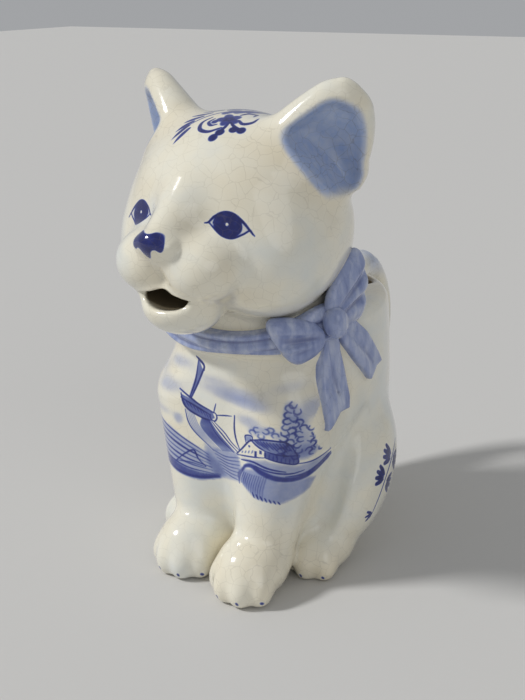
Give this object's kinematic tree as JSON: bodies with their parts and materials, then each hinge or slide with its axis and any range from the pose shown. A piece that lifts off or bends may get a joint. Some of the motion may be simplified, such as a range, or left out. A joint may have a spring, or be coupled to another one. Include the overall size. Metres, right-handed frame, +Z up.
{
  "type": "cat cream jug",
  "caption": "Seated kitten cream jug in hand-painted blue and white crackled earthenware, with a pouring mouth, a tail handle and a ribbon bow.",
  "frame": {"origin": "point of the foot face midway between the cat's two sides, 6 mm behind the front edge of the jug's foot, on the plane the jug stands on", "axes": "+Z up; the cat faces -Y; +X towards the cat's left side, where the bow is"},
  "size_m": [0.075, 0.128, 0.1483],
  "materials": {
    "cream_glaze": "cream gloss glaze over white earthenware, fine crackle, cobalt blue hand painting",
    "blue_glaze": "cobalt blue wash under the same gloss glaze"
  },
  "bodies": {
    "root": {"jug_body": "cream_glaze", "neck": "cream_glaze", "head": "cream_glaze", "lower_jaw": "cream_glaze", "left_ear": "cream_glaze", "right_ear": "cream_glaze", "left_front_leg": "cream_glaze", "right_front_leg": "cream_glaze", "left_front_paw": "cream_glaze", "right_front_paw": "cream_glaze", "left_haunch": "cream_glaze", "right_haunch": "cream_glaze", "left_hind_paw": "cream_glaze", "right_hind_paw": "cream_glaze", "tail_handle": "cream_glaze", "neck_ribbon": "blue_glaze", "bow_knot": "blue_glaze", "bow_front_loop": "blue_glaze", "bow_rear_loop": "blue_glaze", "ribbon_front_end": "blue_glaze", "ribbon_rear_end": "blue_glaze"}
  },
  "joints": []
}
